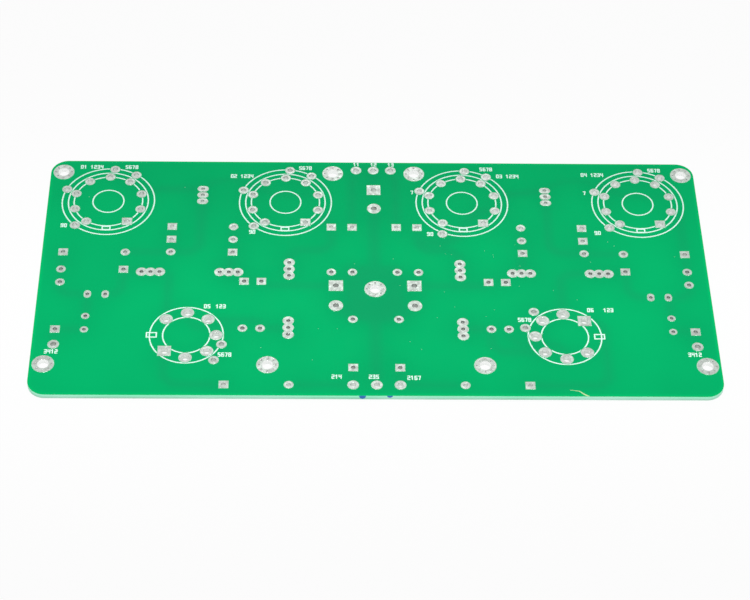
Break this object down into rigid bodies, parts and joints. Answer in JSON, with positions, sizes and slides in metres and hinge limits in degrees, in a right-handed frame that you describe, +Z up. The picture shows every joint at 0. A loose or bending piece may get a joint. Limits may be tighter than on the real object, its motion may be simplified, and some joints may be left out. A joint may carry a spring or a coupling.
{
  "type": "bare circuit board",
  "caption": "Bare rectangular circuit board with rounded corners, green solder mask, tinned pads round drilled holes, screw lands and white valve-socket rings; joins soldered parts.",
  "frame": {"origin": "on the level the board rests on, under the middle of its outline", "axes": "+X along the board, +Y from the front edge to the rear edge, +Z up through the board"},
  "size_m": [0.19, 0.09, 0.0016],
  "materials": {
    "laminate": "cut edge of pale green glass-fibre laminate, matt",
    "solder_mask": "smooth green solder mask, semi-gloss",
    "tinned_copper": "tinned copper, light warm grey, satin",
    "copper": "bare copper foil, all of it under the solder mask",
    "legend_ink": "white printed legend, matt"
  },
  "bodies": {
    "root": {"laminate": "laminate", "top_solder_mask": "solder_mask", "bottom_solder_mask": "solder_mask", "first_nine_pin_pads": "tinned_copper", "second_nine_pin_pads": "tinned_copper", "third_nine_pin_pads": "tinned_copper", "fourth_nine_pin_pads": "tinned_copper", "left_seven_pin_pads": "tinned_copper", "right_seven_pin_pads": "tinned_copper", "left_end_screw_lands": "tinned_copper", "right_end_screw_lands": "tinned_copper", "rear_screw_lands": "tinned_copper", "front_screw_lands": "tinned_copper", "centre_screw_land": "tinned_copper", "left_resistor_pads": "tinned_copper", "right_resistor_pads": "tinned_copper", "rear_resistor_pads": "tinned_copper", "anode_resistor_pads": "tinned_copper", "input_resistor_pads": "tinned_copper", "reservoir_pads": "tinned_copper", "left_smoothing_pads": "tinned_copper", "right_smoothing_pads": "tinned_copper", "left_film_pads": "tinned_copper", "right_film_pads": "tinned_copper", "left_coupling_pads": "tinned_copper", "right_coupling_pads": "tinned_copper", "left_disc_pads": "tinned_copper", "right_disc_pads": "tinned_copper", "left_regulator_pads": "tinned_copper", "right_regulator_pads": "tinned_copper", "rear_terminal_pads": "tinned_copper", "front_terminal_pads": "tinned_copper", "feedback_terminal_pads": "tinned_copper", "first_nine_pin_legend": "legend_ink", "second_nine_pin_legend": "legend_ink", "third_nine_pin_legend": "legend_ink", "fourth_nine_pin_legend": "legend_ink", "left_seven_pin_legend": "legend_ink", "right_seven_pin_legend": "legend_ink", "ground_track": "copper", "reservoir_track": "copper", "output_tracks": "copper", "supply_tracks": "copper", "input_tracks": "copper", "grid_tracks": "copper", "anode_tracks": "copper", "screen_tracks": "copper", "cathode_tracks": "copper", "seven_pin_heater_tracks": "copper", "coupling_tracks": "copper", "output_cathode_tracks": "copper", "regulator_tracks": "copper", "resistor_bank_tracks": "copper", "nine_pin_wire_tracks": "copper", "end_tracks": "copper", "feedback_tracks": "copper"}
  },
  "joints": []
}
